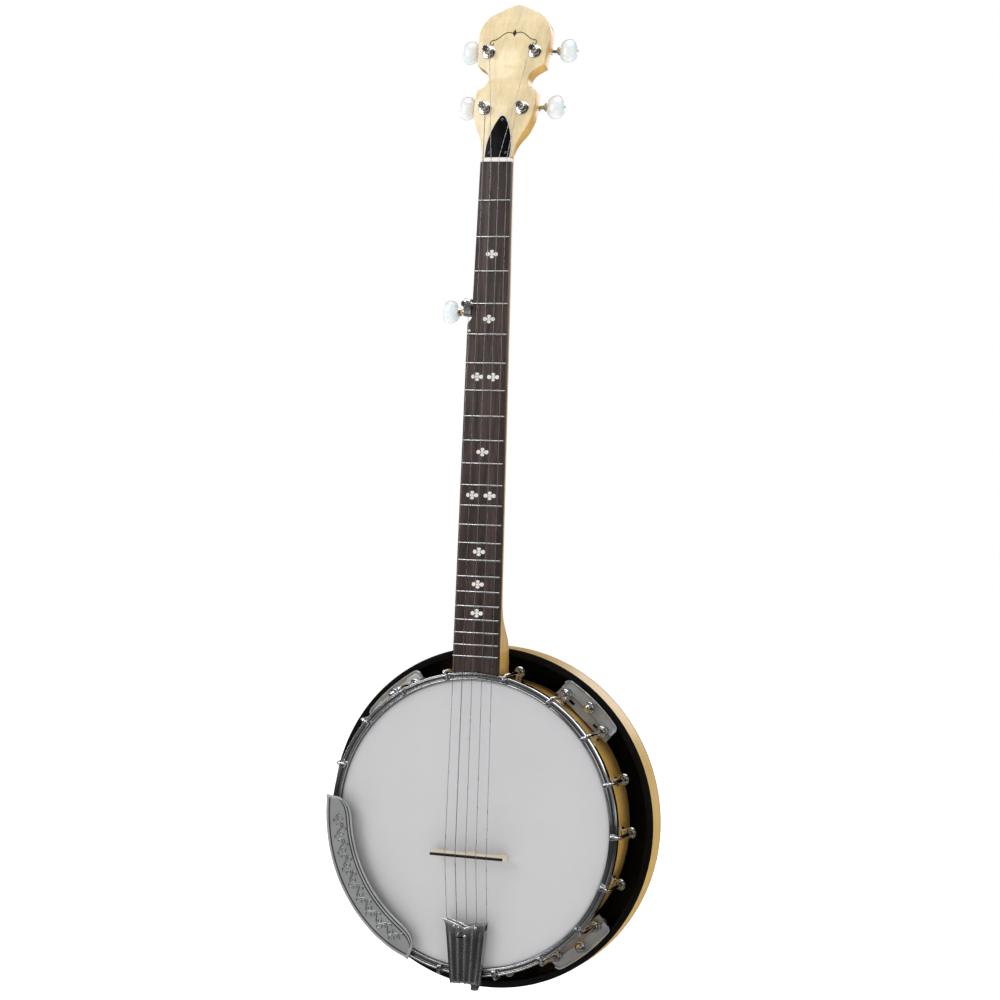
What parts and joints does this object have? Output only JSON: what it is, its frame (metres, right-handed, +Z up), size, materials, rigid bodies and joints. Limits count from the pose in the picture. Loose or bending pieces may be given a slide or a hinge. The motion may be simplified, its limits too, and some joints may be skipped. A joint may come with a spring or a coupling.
{
  "type": "five-string resonator banjo",
  "caption": "Five-string resonator banjo with a drum head, tension hooks, geared tuners, tailpiece and armrest, hung by its neck.",
  "frame": {"origin": "the point inside the neck just above the nut where a forked hanger takes the weight under the peghead's flare", "axes": "+Z up the instrument towards the peghead, -Y the playing side, +X to the viewer's right"},
  "size_m": [0.337, 0.1024, 0.9691],
  "materials": {
    "maple": "natural gloss lacquer",
    "bridge_maple": "bare maple with an ebony cap",
    "fingerboard": "oiled rosewood with nickel frets",
    "bone": "polished",
    "black_plastic": "gloss",
    "drum_skin": "frosted film",
    "brass": "polished",
    "steel": "bright",
    "string_wire": "drawn wire",
    "brushed_plate": "brushed, darkened",
    "pearl": "pearloid gloss",
    "chrome": "bright plate"
  },
  "bodies": {
    "frame": {"neck": "maple", "fingerboard": "fingerboard", "nut": "bone", "truss_rod_cover": "black_plastic", "rim": "maple", "tone_ring": "brass", "head": "drum_skin", "tension_hoop": "chrome", "coordinator_rod": "steel", "resonator": "maple", "hook_01": "chrome", "hook_02": "chrome", "hook_03": "chrome", "hook_04": "chrome", "hook_05": "chrome", "hook_06": "chrome", "hook_07": "chrome", "hook_08": "chrome", "hook_09": "chrome", "hook_10": "chrome", "hook_11": "chrome", "hook_12": "chrome", "hook_13": "chrome", "hook_14": "chrome", "hook_15": "chrome", "hook_16": "chrome", "hook_17": "chrome", "hook_18": "chrome", "bridge": "bridge_maple", "tailpiece_base": "chrome", "armrest": "brushed_plate", "string_1": "string_wire", "string_2": "string_wire", "string_3": "string_wire", "string_4": "string_wire", "string_5": "string_wire", "tuner_1_housing": "chrome", "tuner_2_housing": "chrome", "tuner_3_housing": "chrome", "tuner_4_housing": "chrome", "tuner_5_housing": "chrome", "flange_plate_upper_right": "chrome", "flange_plate_upper_left": "chrome", "flange_plate_lower_right": "chrome", "flange_plate_lower_left": "chrome"},
    "tuner_1_knob": {"tuner_1_knob": "pearl"},
    "tuner_1_post": {"tuner_1_post": "chrome"},
    "tuner_2_knob": {"tuner_2_knob": "pearl"},
    "tuner_2_post": {"tuner_2_post": "chrome"},
    "tuner_3_knob": {"tuner_3_knob": "pearl"},
    "tuner_3_post": {"tuner_3_post": "chrome"},
    "tuner_4_knob": {"tuner_4_knob": "pearl"},
    "tuner_4_post": {"tuner_4_post": "chrome"},
    "tuner_5_knob": {"tuner_5_knob": "pearl"},
    "tuner_5_post": {"tuner_5_post": "chrome"},
    "thumb_screw_upper_right": {"thumb_screw_upper_right": "chrome"},
    "thumb_screw_upper_left": {"thumb_screw_upper_left": "chrome"},
    "thumb_screw_lower_right": {"thumb_screw_lower_right": "chrome"},
    "thumb_screw_lower_left": {"thumb_screw_lower_left": "chrome"},
    "tailpiece_cover": {"tailpiece_cover": "chrome"}
  },
  "joints": [
    {"name": "tuner_1_knob_turn", "type": "hinge", "parent": "frame", "child": "tuner_1_knob", "pos_m": [0.0284, 0.02739, 0.03993], "axis": [1, 0, 0], "continuous": true},
    {"name": "tuner_1_post_turn", "type": "hinge", "parent": "frame", "child": "tuner_1_post", "pos_m": [0.0194, 0.00499, 0.03673], "axis": [0, 0.9504, -0.3109], "continuous": true},
    {"name": "tuner_2_knob_turn", "type": "hinge", "parent": "frame", "child": "tuner_2_knob", "pos_m": [0.033, 0.04605, 0.09695], "axis": [1, 0, 0], "continuous": true},
    {"name": "tuner_2_post_turn", "type": "hinge", "parent": "frame", "child": "tuner_2_post", "pos_m": [0.024, 0.02364, 0.09376], "axis": [0, 0.9504, -0.3109], "continuous": true},
    {"name": "tuner_3_knob_turn", "type": "hinge", "parent": "frame", "child": "tuner_3_knob", "pos_m": [-0.033, 0.04605, 0.09695], "axis": [-1, 0, 0], "continuous": true},
    {"name": "tuner_3_post_turn", "type": "hinge", "parent": "frame", "child": "tuner_3_post", "pos_m": [-0.024, 0.02364, 0.09376], "axis": [0, 0.9504, -0.3109], "continuous": true},
    {"name": "tuner_4_knob_turn", "type": "hinge", "parent": "frame", "child": "tuner_4_knob", "pos_m": [-0.0284, 0.02739, 0.03993], "axis": [-1, 0, 0], "continuous": true},
    {"name": "tuner_4_post_turn", "type": "hinge", "parent": "frame", "child": "tuner_4_post", "pos_m": [-0.0194, 0.00499, 0.03673], "axis": [0, 0.9504, -0.3109], "continuous": true},
    {"name": "tuner_5_knob_turn", "type": "hinge", "parent": "frame", "child": "tuner_5_knob", "pos_m": [-0.03, -0.00896, -0.16183], "axis": [-1, 0, 0], "continuous": true},
    {"name": "tuner_5_post_turn", "type": "hinge", "parent": "frame", "child": "tuner_5_post", "pos_m": [-0.024, -0.01769, -0.15451], "axis": [0, 0.9993, -0.0369], "continuous": true},
    {"name": "thumb_screw_upper_right_turn", "type": "hinge", "parent": "frame", "child": "thumb_screw_upper_right", "pos_m": [0.1025, 0.015, -0.54173], "axis": [0, -1, 0], "continuous": true},
    {"name": "thumb_screw_upper_left_turn", "type": "hinge", "parent": "frame", "child": "thumb_screw_upper_left", "pos_m": [-0.1025, 0.015, -0.54173], "axis": [0, -1, 0], "continuous": true},
    {"name": "thumb_screw_lower_right_turn", "type": "hinge", "parent": "frame", "child": "thumb_screw_lower_right", "pos_m": [0.10087, 0.015, -0.77569], "axis": [0, -1, 0], "continuous": true},
    {"name": "thumb_screw_lower_left_turn", "type": "hinge", "parent": "frame", "child": "thumb_screw_lower_left", "pos_m": [-0.10087, 0.015, -0.77569], "axis": [0, -1, 0], "continuous": true},
    {"name": "tailpiece_cover_hinge", "type": "hinge", "parent": "frame", "child": "tailpiece_cover", "pos_m": [0, -0.0286, -0.8094], "axis": [1, 0, 0], "range_deg": [0, 60]}
  ],
  "couplings": [
    {"joint": "tuner_1_post_turn", "follows": "tuner_1_knob_turn", "ratio": 0.071429},
    {"joint": "tuner_2_post_turn", "follows": "tuner_2_knob_turn", "ratio": 0.071429},
    {"joint": "tuner_3_post_turn", "follows": "tuner_3_knob_turn", "ratio": -0.071429},
    {"joint": "tuner_4_post_turn", "follows": "tuner_4_knob_turn", "ratio": -0.071429},
    {"joint": "tuner_5_post_turn", "follows": "tuner_5_knob_turn", "ratio": -0.071429}
  ]
}
